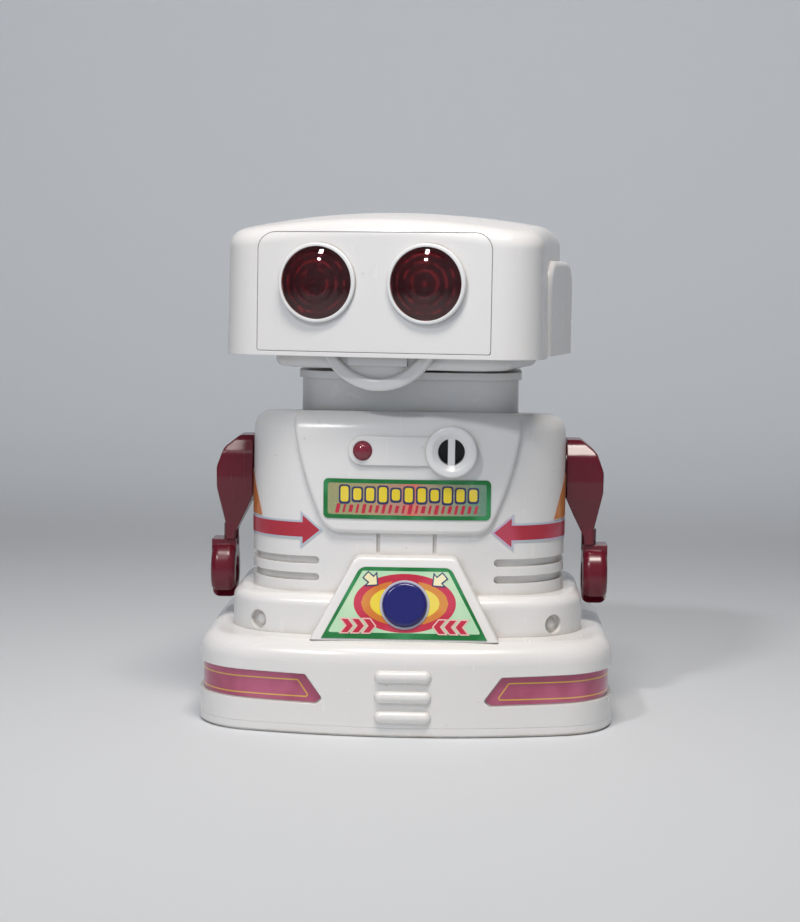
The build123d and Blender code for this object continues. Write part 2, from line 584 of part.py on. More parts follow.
def chest_label():
    middle = (LABEL_LOW + LABEL_HIGH) / 2
    outline = Pos(0, middle) * RectangleRounded(2 * LABEL_HALF, LABEL_HIGH - LABEL_LOW, 1.6)
    layer = torso_block(-PANEL_RISE - DECAL) - torso_block(-PANEL_RISE)
    return layer & from_front(outline, -80, -20)


def button_label():
    outline = plate_outline(PLATE_BORDER, 0.7)
    plane = plate_frame()
    layer = extrude(plane * Rectangle(120, 120), DECAL)
    hole = extrude(plane.offset(-1) * Circle(BUTTON_RADIUS + 0.8), 3)
    return (layer & from_front(outline, -80, -28)) - hole


def arrow_outline():
    """A broad arrow on the +X half of the torso that points to the chest's foot."""
    far = TORSO_HALF + 10
    return make_face(Polyline((27.3, 62.6), (34.6, 68.6), (34.6, 65.6), (far, 65.6), (far, 59.6),
                              (34.6, 59.6), (34.6, 56.6), close=True))


def side_arrows():
    layer = torso_block(-DECAL) - torso_block()
    return both_sides(layer & from_front(arrow_outline(), -80, 6))


def side_flashes():
    far = TORSO_HALF + 10
    outline = make_face(Polyline((48.0, 66.2), (far, 66.2), (far, 82.0), (52.6, 82.0), close=True))
    layer = torso_block(-DECAL) - torso_block()
    return both_sides(layer & from_front(outline, -80, FLASH_END_Y))


def battery_wires():
    return joined([
        wire_along([(x, 8, BOX_TOP + BOX_WALL + 0.1), (x, 6, 26), (x, -4, 38), (x - 2, -15, 50),
                    (x - 2, -18.5, 60)]) for x in (-7, -3)])


def speaker_wires():
    return joined([wire_along([(x, -19.4, 61), (x + 4, -10, 57), (x + 6, 8, 52), (x + 1, 22, 54)])
                   for x in (14, 18)])


def neck_wires():
    return joined([wire_along([(x, -19.4, 88), (x, -14, 93), (x, -4, 98), (x, 0, 108)])
                   for x in (-1.6, 1.6)])


# ---------------------------------------------------------------- arms, drawn on the +X side
def arm():
    """Upper arm: a bevelled shoulder that narrows to a wrist, with its shaft into the body."""
    front = make_face(Polyline(
        (ARM_INNER, 91.0), (57.5, 91.0), (62.5, 87.0), (64.9, 80.5), (64.9, 73.5), (62.4, 61.0),
        (62.4, 55.4), (59.2, 55.4), (59.2, 57.5), (55.0, 66.0), (ARM_INNER, 71.0), close=True))
    front = fillet([v for v in front.vertices() if v.X > 58 and 56 < v.Y < 90], 4.5)
    front = fillet([v for v in front.vertices() if v.X > 56 and v.Y > 90], 2.5)
    side = make_face(Polyline((-5.5, 54), (5.5, 54), (6.0, 61), (9.6, 71), (10.8, 77), (10.8, 85),
                              (6.8, 91.2), (-6.8, 91.2), (-10.8, 85), (-10.8, 77), (-9.6, 71),
                              (-6.0, 61), close=True))
    side = fillet(side.vertices().filter_by(lambda v: v.Y > 60), 5.0)
    part = from_front(front, -20, 20) & from_side(side, 50, 70)
    part = fillet([e for e in part.edges() if e.center().X > 62.3 and e.center().Z > 57], ARM_ROUND)
    part += rod(SHOULDER_RADIUS + 3.5, (ARM_INNER - 0.5, 0, SHOULDER_Z), (58, 0, SHOULDER_Z))
    part += rod(SHOULDER_RADIUS, (46.9, 0, SHOULDER_Z), (58, 0, SHOULDER_Z))
    part -= rod(1.52, (40, 0, SHOULDER_Z), (58, 0, SHOULDER_Z))
    return part - rod(2.52, (60.9, 0, 50), (60.9, 0, 60.5))


def claw():
    face = Pos(0, CLAW_Z) * Circle(CLAW_RADIUS)
    face += Pos(0, CLAW_Z + CLAW_RADIUS - 1.15) * Rectangle(10, 2.9)
    face -= Pos(0, CLAW_Z - 0.5) * Circle(4.6)
    face -= Pos(-4.0, CLAW_Z - CLAW_RADIUS / 2 - 1.5) * Rot(0, 0, -35) * Rectangle(5, 14)
    part = from_side(face, CLAW_INNER_X, CLAW_OUTER_X)
    part = fillet(part.edges().filter_by(GeomType.CIRCLE).filter_by(
        lambda e: e.radius > 9), 2.4)
    return part + rod(2.5, (60.9, 0, CLAW_Z + 8), (60.9, 0, 60.4))


def shoulder_washer():
    return tube(9, 1.6, (45.8, 0, SHOULDER_Z), (46.8, 0, SHOULDER_Z))


def shoulder_screw():
    return screw((44.0, 0, SHOULDER_Z), (57.0, 0, SHOULDER_Z))


# ---------------------------------------------------------------- head, drawn facing -Y
def head_plan(inset=0.0):
    return plan_outline(HEAD_HALF - inset, HEAD_FRONT + inset, HEAD_BACK - inset,
                        HEAD_CORNER - inset, HEAD_BOW, HEAD_REAR_HALF - inset,
                        HEAD_REAR_CORNER - inset)


def head_solid(inset=0.0):
    top = HEAD_CROWN + 5
    block = loft([Pos(0, 0, HEAD_BOTTOM + inset) * head_plan(inset),
                  Pos(0, 0, top) * head_plan(inset + HEAD_DRAFT)])
    block &= Pos(0, HEAD_CROWN_Y, HEAD_CROWN - HEAD_DOME) * Sphere(HEAD_DOME - inset)
    return fillet([e for e in block.edges() if e.center().Z > FACE_HIGH - 3], HEAD_TOP_EDGE - inset / 2)


def face_outline(grow=0.0):
    """The face plate's front view: square at the foot, rounded at the top corners."""
    middle = (FACE_LOW + FACE_HIGH) / 2
    face = Pos(0, middle) * Rectangle(2 * (FACE_HALF + grow), FACE_HIGH - FACE_LOW + 2 * grow)
    face = fillet([v for v in face.vertices() if v.Y < middle], 0.8)
    return fillet([v for v in face.vertices() if v.Y > FACE_HIGH - 1], FACE_CORNER + grow)


def floor_hole(grow=0.0):
    """The opening in the bottom of the head that the head floor's step fills."""
    return Pos(0, -4) * RectangleRounded(58 + 2 * grow, 58 + 2 * grow, 8 + grow)


def head_screw_places():
    return [(sx * 32.5, y) for sx in (-1, 1) for y in (-29.2, 12.0)]


def head_shell(step=0.0):
    shell = head_solid(step) - head_solid(WALL)
    shell -= prism(floor_hole(0.3), HEAD_BOTTOM - 5, HEAD_BOTTOM + 5)
    shell -= box_between((-20.4, -46, HEAD_BOTTOM - 5), (20.4, -36, HEAD_BOTTOM + 5))
    for x, y in head_screw_places():
        shell += rod(3.5, (x, y, HEAD_BOTTOM), (x, y, HEAD_BOTTOM + 12))
        shell -= rod(1.42, (x, y, HEAD_BOTTOM - 1), (x, y, HEAD_BOTTOM + 11))
    return shell


def head_shell_front(shell):
    front = shell & box_between((-80, -80, 100), (80, HEAD_SEAM_Y - SEAM, 180))
    return front - from_front(face_outline(FACE_GAP), -80, -45)


def head_shell_rear(shell):
    return shell & box_between((-80, HEAD_SEAM_Y + SEAM, 100), (80, 80, 180))


def face_plate():
    plate = (head_solid() - head_solid(WALL)) & from_front(face_outline(), -80, -45)
    for sx in (-1, 1):
        x = sx * EYE_X
        plate -= rod(12.05, (x, -60, EYE_Z), (x, -40, EYE_Z))
        plate -= rod(BEZEL_RADIUS + 0.05, (x, -60, EYE_Z), (x, HEAD_FRONT + 1.3, EYE_Z))
    return plate


def eye_bezels():
    front, seat, end = HEAD_FRONT - 1.0, HEAD_FRONT + 1.3, HEAD_FRONT + 6.0
    ring = rod(BEZEL_RADIUS, (EYE_X, front, EYE_Z), (EYE_X, seat, EYE_Z))
    ring = fillet(ring.edges().group_by(Axis.Y)[0], 0.6)
    ring += rod(12.0, (EYE_X, seat, EYE_Z), (EYE_X, end, EYE_Z))
    return both_sides(ring - rod(LENS_RADIUS + 0.05, (EYE_X, -70, EYE_Z), (EYE_X, -30, EYE_Z)))


def eye_lenses():
    radius = (LENS_RADIUS**2 + LENS_SAG**2) / (2 * LENS_SAG)
    rim_y = HEAD_FRONT - 0.3
    centre_y = rim_y - LENS_SAG + radius
    lens = Pos(EYE_X, centre_y, EYE_Z) * Sphere(radius)
    lens &= rod(LENS_RADIUS, (EYE_X, -70, EYE_Z), (EYE_X, rim_y + 1.6, EYE_Z))
    return both_sides(lens - Pos(EYE_X, centre_y, EYE_Z) * Sphere(radius - 1.5))


def eye_reflectors():
    mouth = Plane(origin=(EYE_X, HEAD_FRONT + 1.6, EYE_Z), z_dir=(0, 1, 0))
    cup = extrude(mouth * Circle(LENS_RADIUS), 0.8)
    cup += loft([mouth.offset(0.8) * Circle(LENS_RADIUS), mouth.offset(9) * Circle(4)])
    cup -= loft([mouth.offset(-0.1) * Circle(LENS_RADIUS - 0.8), mouth.offset(8.2) * Circle(3)])
    return both_sides(cup - extrude(mouth.offset(7) * Circle(2.55), 5))


def eye_lamps():
    lamp = rod(2.5, (EYE_X, HEAD_FRONT + 8, EYE_Z), (EYE_X, HEAD_FRONT + 14, EYE_Z))
    return both_sides(lamp + Pos(EYE_X, HEAD_FRONT + 8, EYE_Z) * Sphere(2.5))


def ear():
    depth = EAR_BACK - EAR_FRONT
    middle = (EAR_BACK + EAR_FRONT) / 2
    low = HEAD_BOTTOM + HEAD_STEP + 0.1
    face = Pos(middle, (low + EAR_TOP) / 2) * Rectangle(depth, EAR_TOP - low)
    face = fillet([v for v in face.vertices() if v.Y > low + 5], 9.0)
    pad = from_side(face, 35, EAR_OUT)
    outer = [e for e in pad.edges() if e.center().X > EAR_OUT - 0.1 and e.center().Z > low + 1]
    return fillet(outer, 1.9) - head_solid(HEAD_STEP)


def head_floor():
    face = Pos(0, (FLOOR_FRONT + FLOOR_BACK) / 2) * RectangleRounded(
        2 * FLOOR_HALF, FLOOR_BACK - FLOOR_FRONT, 14)
    plate = prism(face, FLOOR_LOW, HEAD_BOTTOM)
    plate = fillet(plate.edges().group_by(Axis.Z)[0], 2.7)
    plate += prism(floor_hole(), HEAD_BOTTOM - 0.5, HEAD_BOTTOM + WALL)
    plate -= prism(floor_hole(-WALL), FLOOR_LOW + WALL, HEAD_BOTTOM + 5)
    for sx in (-1, 1):
        x = sx * (JAW_ARM_X + 4.25)
        post = box_between((x - 1.25, JAW_PIVOT_Y - 3.5, FLOOR_LOW + 1),
                           (x + 1.25, JAW_PIVOT_Y + 3.5, JAW_PIVOT_Z))
        plate += post + rod(3.5, (x - 1.25, JAW_PIVOT_Y, JAW_PIVOT_Z), (x + 1.25, JAW_PIVOT_Y, JAW_PIVOT_Z))
    plate -= rod(1.51, (-30, JAW_PIVOT_Y, JAW_PIVOT_Z), (30, JAW_PIVOT_Y, JAW_PIVOT_Z))
    plate -= rod(SPINDLE_BORE, (0, 0, 110), (0, 0, 130))
    for x, y in head_screw_places():
        plate -= rod(1.5, (x, y, 110), (x, y, 125)) + rod(3.0, (x, y, 110), (x, y, 117))
    return plate


def head_screws():
    return joined([screw((x, y, 115.3), (x, y, 129), 2.8, 1.4, 1.7) for x, y in head_screw_places()])


def head_spindle():
    spindle = rod(SPINDLE_RADIUS, (0, 0, 106), (0, 0, FLOOR_LOW))
    spindle += rod(14, (0, 0, NECK_RIM_TOP + 0.1), (0, 0, FLOOR_LOW))
    spindle -= tube(SPINDLE_RADIUS + 1, 7.2, (0, 0, 109.6), (0, 0, 110.8))
    return spindle - rod(SPINDLE_BORE, (0, 0, 100), (0, 0, 120))


def spindle_clip():
    clip = tube(11, 7.25, (0, 0, 109.7), (0, 0, 110.7))
    return clip - box_between((-3.5, 0, 105), (3.5, 15, 115))


def jaw():
    disc = rod(JAW_RADIUS, (0, JAW_FRONT, JAW_Z), (0, JAW_BACK, JAW_Z))
    disc -= rod(JAW_RADIUS - JAW_RIM, (0, JAW_FRONT - 1, JAW_Z), (0, JAW_FRONT + 1.8, JAW_Z))
    disc = fillet(disc.edges().group_by(Axis.Y)[0], 1.2)
    disc += box_between((-9.75, JAW_FRONT + 0.6, 116.4), (9.75, JAW_FRONT + 2.5, 122))
    disc &= box_between((-30, -60, 100), (30, -30, JAW_TOP))
    arms = []
    for sx in (-1, 1):
        low_x, high_x = sorted((sx * (JAW_ARM_X - 1.25), sx * (JAW_ARM_X + 1.25)))
        bar = box_between((low_x, JAW_BACK - 0.5, JAW_PIVOT_Z - 2), (high_x, 24, JAW_PIVOT_Z + 1.4))
        hub = rod(3.2, (low_x, JAW_PIVOT_Y, JAW_PIVOT_Z), (high_x, JAW_PIVOT_Y, JAW_PIVOT_Z))
        arms.append(bar + hub)
    cross = box_between((-JAW_ARM_X, 20, JAW_PIVOT_Z - 1.4), (JAW_ARM_X, 24, JAW_PIVOT_Z + 0.6))
    lever = disc + arms + cross
    return lever - rod(1.5 + SLIP, (-30, JAW_PIVOT_Y, JAW_PIVOT_Z), (30, JAW_PIVOT_Y, JAW_PIVOT_Z))


def jaw_pin():
    reach = JAW_ARM_X + 5.5
    return rod(1.5, (-reach, JAW_PIVOT_Y, JAW_PIVOT_Z), (reach, JAW_PIVOT_Y, JAW_PIVOT_Z))


def jaw_coil():
    low, high = FLOOR_LOW + WALL, JAW_PIVOT_Z - 2.2
    y = JAW_PIVOT_Y + 2.3
    return rod(1.6, (0, y, low), (0, y, high)) + rod(4.4, (0, y, low), (0, y, low + 0.6)) + rod(
        4.4, (0, y, high - 0.8), (0, y, high - 0.2)) + rod(3.9, (0, y, low), (0, y, high - 0.5))


def eye_wires():
    return joined([wire_along([(s * 1.6, 0, 109), (s * 1.6, 0, 124), (s * 5, -8, 134), (s * 14, -26, 141),
                               (s * EYE_X, HEAD_FRONT + 14.2, EYE_Z)]) for s in (-1, 1)])


# ---------------------------------------------------------------- the whole robot
def base_nodes():
    return {
        "base_shell": base_shell(), "base_pan": base_pan(), "battery_door": battery_door(),
        "batteries": batteries(), "battery_plates": battery_plates(),
        "battery_springs": battery_springs(), "base_screws": base_screws(),
        "body_screws": body_screws(), "base_stripes": base_stripes(),
    }


def body_nodes():
    shell = body_shell()
    return {
        "body_front": body_front(shell), "body_back": body_back(shell),
        "case_screws": case_screws(), "neck_collar": neck_collar(),
        "microphone_bezel": microphone_bezel(), "microphone": microphone(),
        "indicator_lamp": indicator_lamp(), "circuit_board": circuit_board(),
        "board_components": board_components(), "board_screws": board_screws(),
        "speaker_basket": speaker_basket(), "speaker_cone": speaker_cone(),
        "speaker_magnet": speaker_magnet(), "try_button": try_button(),
        "button_bezel": button_bezel(), "button_switch": button_switch(),
        "mode_switch": mode_switch(), "mode_knob": mode_knob(), "chest_label": chest_label(),
        "button_label": button_label(), "side_arrows": side_arrows(),
        "side_flashes": side_flashes(), "battery_wires": battery_wires(),
        "speaker_wires": speaker_wires(), "neck_wires": neck_wires(),
    }


def arm_nodes():
    nodes = {}
    for name, make in (("arm", arm), ("claw", claw), ("shoulder_washer", shoulder_washer),
                       ("shoulder_screw", shoulder_screw)):
        nodes[name + "_left"] = make()
        nodes[name + "_right"] = mirror(nodes[name + "_left"], about=Plane.YZ)
    return nodes


def head_nodes():
    ear_left = ear()
    nodes = {
        "head_shell_front": head_shell_front(head_shell()),
        "head_shell_rear": head_shell_rear(head_shell(HEAD_STEP)),
        "face_plate": face_plate(), "eye_bezels": eye_bezels(), "eye_lenses": eye_lenses(),
        "eye_reflectors": eye_reflectors(), "eye_lamps": eye_lamps(), "ear_left": ear_left,
        "ear_right": mirror(ear_left, about=Plane.YZ), "head_floor": head_floor(),
        "head_screws": head_screws(), "head_spindle": head_spindle(),
        "spindle_clip": spindle_clip(), "jaw": jaw(), "jaw_pin": jaw_pin(),
        "jaw_coil": jaw_coil(), "eye_wires": eye_wires(),
    }
    return {name: Rot(0, 0, HEAD_REST_TURN) * part for name, part in nodes.items()}


def main():
    os.makedirs("parts", exist_ok=True)
    for group in (base_nodes, body_nodes, arm_nodes, head_nodes):
        for name, part in group().items():
            export_step(part, f"parts/{name}.step")


main()
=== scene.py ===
"""Looks for a talking toy robot: materials, printed graphics, studio light and camera.

Graphics are drawn in millimetres and MM turns them into Blender's metres. The stage, the lights
and the camera are given in metres.
"""
import json
import math
from bisect import bisect_right

import bmesh
import bpy
from mathutils import Matrix, Vector
from mathutils.bvhtree import BVHTree
from mathutils.geometry import tessellate_polygon


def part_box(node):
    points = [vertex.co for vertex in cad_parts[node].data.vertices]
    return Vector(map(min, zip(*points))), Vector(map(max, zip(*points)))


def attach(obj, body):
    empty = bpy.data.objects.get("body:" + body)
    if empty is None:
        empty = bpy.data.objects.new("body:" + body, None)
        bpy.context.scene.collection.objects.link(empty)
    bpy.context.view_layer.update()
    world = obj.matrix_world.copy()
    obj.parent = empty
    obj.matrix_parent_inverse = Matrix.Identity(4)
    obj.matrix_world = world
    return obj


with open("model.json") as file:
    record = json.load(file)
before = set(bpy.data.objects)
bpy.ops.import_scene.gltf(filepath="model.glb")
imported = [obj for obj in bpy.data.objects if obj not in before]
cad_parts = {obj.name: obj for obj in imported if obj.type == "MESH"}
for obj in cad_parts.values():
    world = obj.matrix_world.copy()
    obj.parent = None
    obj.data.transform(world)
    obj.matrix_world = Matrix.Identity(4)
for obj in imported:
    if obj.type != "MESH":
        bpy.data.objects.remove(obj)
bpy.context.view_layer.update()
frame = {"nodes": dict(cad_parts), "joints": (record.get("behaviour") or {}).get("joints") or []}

MM = 0.001
STRIP = 1.0                     # width of the strips that let a flat graphic bend
WELD = 0.002                    # points of a graphic nearer than this are one point
INK = 0.03                      # thickness of one printed layer
LAYERS = (0.3, 1.4, 2.5, 3.6, 4.8, 5.9)         # underside of each layer, in ink thicknesses
RAYS = 700                      # rays that find the outline of a wall
FAR = 200.0                     # where those rays start
FRONT_TO_SIDE = (-90, 30)       # degrees round the toy that a side's wall covers
ACROSS_FRONT = (-140, -40)      # and those that the front's wall covers
PLATE_TAPER = 13.8 / 25.5       # half width that the button plate loses, over its height


# ---------------------------------------------------------------- materials
def rgb(red, green, blue):
    return (red, green, blue, 1.0)


def shaded(colour, shares):
    """A colour with each channel scaled by its own share."""
    return rgb(*(channel * share for channel, share in zip(colour, shares)))


class Finish:
    """A procedural material: its node tree and its main shader."""

    def __init__(self, name):
        self.material = bpy.data.materials.new(name)
        self.material.use_nodes = True
        self.tree = self.material.node_tree
        self.shader = self.tree.nodes["Principled BSDF"]
        self.place = self.add("TexCoord").outputs["Object"]

    def add(self, kind, inputs=None, **settings):
        """Adds a node. Each input is a value or another node's output."""
        node = self.tree.nodes.new("ShaderNode" + kind)
        for key, value in settings.items():
            setattr(node, key, value)
        self.feed(node, inputs or {})
        return node

    def feed(self, node, inputs):
        for key, value in inputs.items():
            if isinstance(value, bpy.types.NodeSocket):
                self.tree.links.new(value, node.inputs[key])
            else:
                node.inputs[key].default_value = value

    def set(self, **inputs):
        """Feeds the main shader; an underscore in a name stands for a space."""
        self.feed(self.shader, {key.replace("_", " "): value for key, value in inputs.items()})

    def noise(self, scale, detail=2.0, rough=0.5, place=None):
        inputs = {"Vector": place or self.place, "Scale": scale, "Detail": detail, "Roughness": rough}
        return self.add("TexNoise", inputs).outputs["Fac"]

    def stretched(self, scale, turn=(0, 0, 0)):
        """Coordinates stretched along one way, for scratches and brushed grain."""
        node = self.add("Mapping", {"Vector": self.place, "Rotation": turn, "Scale": scale})
        return node.outputs["Vector"]

    def ranged(self, value, low, high, to_low=0.0, to_high=1.0):
        """Maps a value from one range to another and keeps it inside."""
        inputs = {0: value, 1: low, 2: high, 3: to_low, 4: to_high}
        return self.add("MapRange", inputs, interpolation_type="SMOOTHSTEP").outputs[0]

    def maths(self, operation, a, b=0.0):
        return self.add("Math", {0: a, 1: b}, operation=operation).outputs[0]

    def plus(self, a, b):
        return self.maths("ADD", a, b)

    def times(self, a, b):
        return self.maths("MULTIPLY", a, b)

    def mix(self, share, a, b):
        """Colour a where the share is 0, and b where it is 1."""
        return self.add("Mix", {0: share, 6: a, 7: b}, data_type="RGBA").outputs[2]

    def crevices(self, distance):
        """1 in a deep corner, 0 in the open."""
        node = self.add("AmbientOcclusion", {"Distance": distance}, samples=6)
        return self.ranged(node.outputs["AO"], 0.35, 0.85, 1.0, 0.0)

    def surface(self, heights, edge=0.0):
        """Bump from (height, strength, distance) layers over softly rounded edges."""
        normal = None
        if edge:
            normal = self.add("Bevel", {"Radius": edge}, samples=4).outputs["Normal"]
        for height, strength, distance in heights:
            inputs = {"Height": height, "Strength": strength, "Distance": distance}
            if normal:
                inputs["Normal"] = normal
            normal = self.add("Bump", inputs).outputs["Normal"]
        self.set(Normal=normal)


def moulded(name, colour, aged, roughness, edge=0.4 * MM, depth=0.0, wear_and_shade=1.0):
    """Glossy moulded plastic: handling marks, faint scratches, painted shade mottled with grime in
    corners, soft edges.
    """
    f = Finish(name)
    # One darker colour serves both the painted shade in corners and the grime specks.
    grime_and_shade_colour = shaded(aged, (0.62, 0.55, 0.47))
    fading = f.ranged(f.noise(9, 1, 0.3), 0.2, 0.8, 0.0, 0.3 * wear_and_shade)
    # Painted shade: corners and crevices found by ambient occlusion are darkened, mottled by noise like
    # grime. The same strength also sets the wear.
    corner_shade_and_grime = f.times(f.crevices(3.5 * MM), f.ranged(f.noise(70, 4, 0.6), 0.3, 0.7, 0.25, 1.0))
    tone = f.mix(f.times(corner_shade_and_grime, 0.55 * wear_and_shade), f.mix(fading, colour, aged), grime_and_shade_colour)

    cells = f.add("TexVoronoi", {"Vector": f.place, "Scale": 210.0})
    near = f.ranged(cells.outputs["Distance"], 0.045, 0.09, 1.0, 0.0)
    chosen = f.ranged(f.add("SeparateColor", {0: cells.outputs["Color"]}).outputs[0], 0.9, 0.93)
    tone = f.mix(f.times(f.times(near, chosen), 0.4 * wear_and_shade), tone, grime_and_shade_colour)

    lines = f.noise(1.0, 3, 0.6, f.stretched((35, 1500, 90), (0.3, 0.2, 0.5)))
    crossing = f.noise(1.0, 3, 0.6, f.stretched((1400, 60, 40), (0.5, -0.3, -0.7)))
    scratches = f.maths("MAXIMUM", f.ranged(lines, 0.67, 0.71), f.ranged(crossing, 0.69, 0.73))
    smear = f.ranged(f.noise(20, 3, 0.5), 0.2, 0.8, roughness - 0.03, roughness + 0.05 * wear_and_shade)
    f.set(Base_Color=tone, Roughness=f.plus(smear, f.times(scratches, 0.16 * wear_and_shade)), IOR=1.52)
    if depth:
        f.set(Subsurface_Weight=depth, Subsurface_Radius=(1.0, 0.75, 0.6), Subsurface_Scale=1.6 * MM)
    f.surface([(f.noise(34, 2), 0.25, 0.25 * MM), (f.noise(1600, 2), 0.05, 0.03 * MM),
               (scratches, -0.12, 0.02 * MM)], edge)
    return f.material


def clear_red(name, colour, painted_glint, ripple, clear, centres=()):
    """Tinted clear plastic for the eyes and the lamps, with moulded rings round its centres and painted
    glints of lighter red.
    """
    f = Finish(name)
    ring_pitch = 2.2 * MM
    dust = f.ranged(f.noise(900, 4, 0.7), 0.66, 0.8, 0.0, 0.3)
    tone, heights = colour, [(f.noise(120, 2), ripple, 0.4 * MM)]
    if centres:
        spans = [f.add("VectorMath", {0: f.place, 1: centre}, operation="DISTANCE").outputs["Value"]
                 for centre in centres]
        waves = f.maths("SINE", f.times(f.maths("MINIMUM", *spans), 2 * math.pi / ring_pitch))
        patches = f.ranged(f.noise(300, 2), 0.4, 0.62)
        # Painted glints: lighter red rings and patches in the base colour stand in for light from the
        # reflector seen through the lens.
        tone = f.mix(f.times(f.ranged(waves, 0.0, 1.0), patches), colour, painted_glint)
        heights.append((waves, 0.3, 0.15 * MM))
    f.set(Base_Color=tone, Transmission_Weight=clear, IOR=1.49,
          Roughness=f.plus(0.03, dust), Coat_Weight=0.4, Coat_Roughness=0.02)
    f.surface(heights)
    return f.material


def filmed(f, tone, metallic, roughness, dust, dust_colour):
    """Ends a printed metallised film: fine dust, a clear coat and slight waves."""
    f.set(Base_Color=f.mix(dust, tone, dust_colour), Metallic=metallic,
          Roughness=f.plus(roughness, dust), Coat_Weight=0.5, Coat_Roughness=0.12)
    f.surface([(f.noise(90, 2), 0.15, 0.2 * MM), (f.noise(700, 3, 0.6), 0.08, 0.05 * MM)])
    return f.material


def foil(name, colour, flash, metallic):
    """Film with one main colour and another that drifts across it."""
    f = Finish(name)
    drift = f.ranged(f.noise(70, 2, 0.5), 0.42, 0.66)
    facing = f.add("LayerWeight", {"Blend": 0.35}).outputs["Facing"]
    tone = f.mix(f.maths("MAXIMUM", drift, f.times(facing, 0.35)), colour, flash)
    dust = f.ranged(f.noise(1300, 3, 0.7), 0.64, 0.76, 0.0, 0.3)
    return filmed(f, tone, metallic, 0.3, dust, rgb(0.55, 0.5, 0.45))


def banded_foil(name, half, bands):
    """Film whose colours lie in soft upright bands, from -X to +X."""
    f = Finish(name)
    across = f.add("SeparateXYZ", {0: f.place}).outputs["X"]
    share = f.add("MapRange", {0: across, 1: -half, 2: half}).outputs[0]
    drift = f.ranged(f.noise(90, 2), 0.2, 0.8, -0.05, 0.05)
    ramp = f.add("ValToRGB", {0: f.plus(share, drift)})
    stops = ramp.color_ramp.elements
    for place, colour in bands[1:-1]:
        stops.new(place)
    for stop, (place, colour) in zip(stops, bands):
        stop.position, stop.color = place, colour
    dust = f.ranged(f.noise(1300, 3, 0.7), 0.62, 0.76, 0.0, 0.35)
    return filmed(f, ramp.outputs["Color"], 0.35, 0.25, dust, rgb(0.8, 0.78, 0.6))


def metal(name, colour, roughness, grain=(900, 60, 900)):
    """Plated or pressed metal with a drawn grain and a little tarnish."""
    f = Finish(name)
    streak = f.noise(1.0, 3, 0.6, f.stretched(grain))
    tarnish = f.ranged(f.noise(180, 4), 0.45, 0.75)
    f.set(Base_Color=f.mix(tarnish, colour, shaded(colour, (0.55, 0.55, 0.55))), Metallic=1.0,
          Roughness=f.ranged(streak, 0.3, 0.7, roughness - 0.08, roughness + 0.12))
    f.surface([(streak, 0.15, 0.03 * MM)], 0.1 * MM)
    return f.material


def dull(name, colour, roughness, grain=700, metallic=0.0):
    """Matt card, epoxy, sleeve or moulded plastic with a fine grain."""
    f = Finish(name)
    fleck = f.noise(grain, 4, 0.6)
    f.set(Base_Color=f.mix(fleck, colour, shaded(colour, (0.7, 0.7, 0.7))), Metallic=metallic,
          Roughness=f.ranged(fleck, 0.3, 0.7, roughness - 0.08, roughness + 0.08))
    f.surface([(fleck, 0.2, 0.06 * MM)], 0.15 * MM)
    return f.material


def eye_centres():
    """The middle of each eye lens, in metres."""
    spots = [v.co for v in frame["nodes"]["eye_lenses"].data.vertices]
    low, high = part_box("eye_lenses")
    middle = (low.x + high.x) / 2
    halves = [[p for p in spots if (p.x - middle) * side > 0] for side in (-1, 1)]
    return [[(min(values) + max(values)) / 2 for values in zip(*half)] for half in halves]


def make_plastics():
    white, cream = rgb(0.77, 0.77, 0.775), rgb(0.70, 0.66, 0.59)
    return {
        "shell": moulded("white_shell_plastic", white, cream, 0.23, depth=0.12),
        "trim": moulded("white_trim_plastic", rgb(0.79, 0.80, 0.81), cream, 0.24, depth=0.12),
        "ring": moulded("silver_ring_plastic", rgb(0.52, 0.55, 0.66), rgb(0.42, 0.43, 0.5), 0.25),
        "arm": moulded("dark_red_plastic", rgb(0.13, 0.006, 0.018), rgb(0.08, 0.006, 0.012), 0.24,
                       edge=0.5 * MM, wear_and_shade=0.7),
        "button": moulded("navy_button_plastic", rgb(0.014, 0.016, 0.15), rgb(0.02, 0.02, 0.09), 0.2,
                          edge=0.3 * MM, wear_and_shade=0.25),
        "black": moulded("black_plastic", rgb(0.02, 0.02, 0.023), rgb(0.03, 0.028, 0.025), 0.35,
                         edge=0.2 * MM, wear_and_shade=0.6),
        "lens": clear_red("red_eye_lens", rgb(0.17, 0.014, 0.024), rgb(0.75, 0.05, 0.07), 0.1, 0.9,
                          eye_centres()),
        "lamp": clear_red("red_lamp_epoxy", rgb(0.5, 0.05, 0.10), rgb(0.7, 0.1, 0.15), 0.02, 0.6),
    }


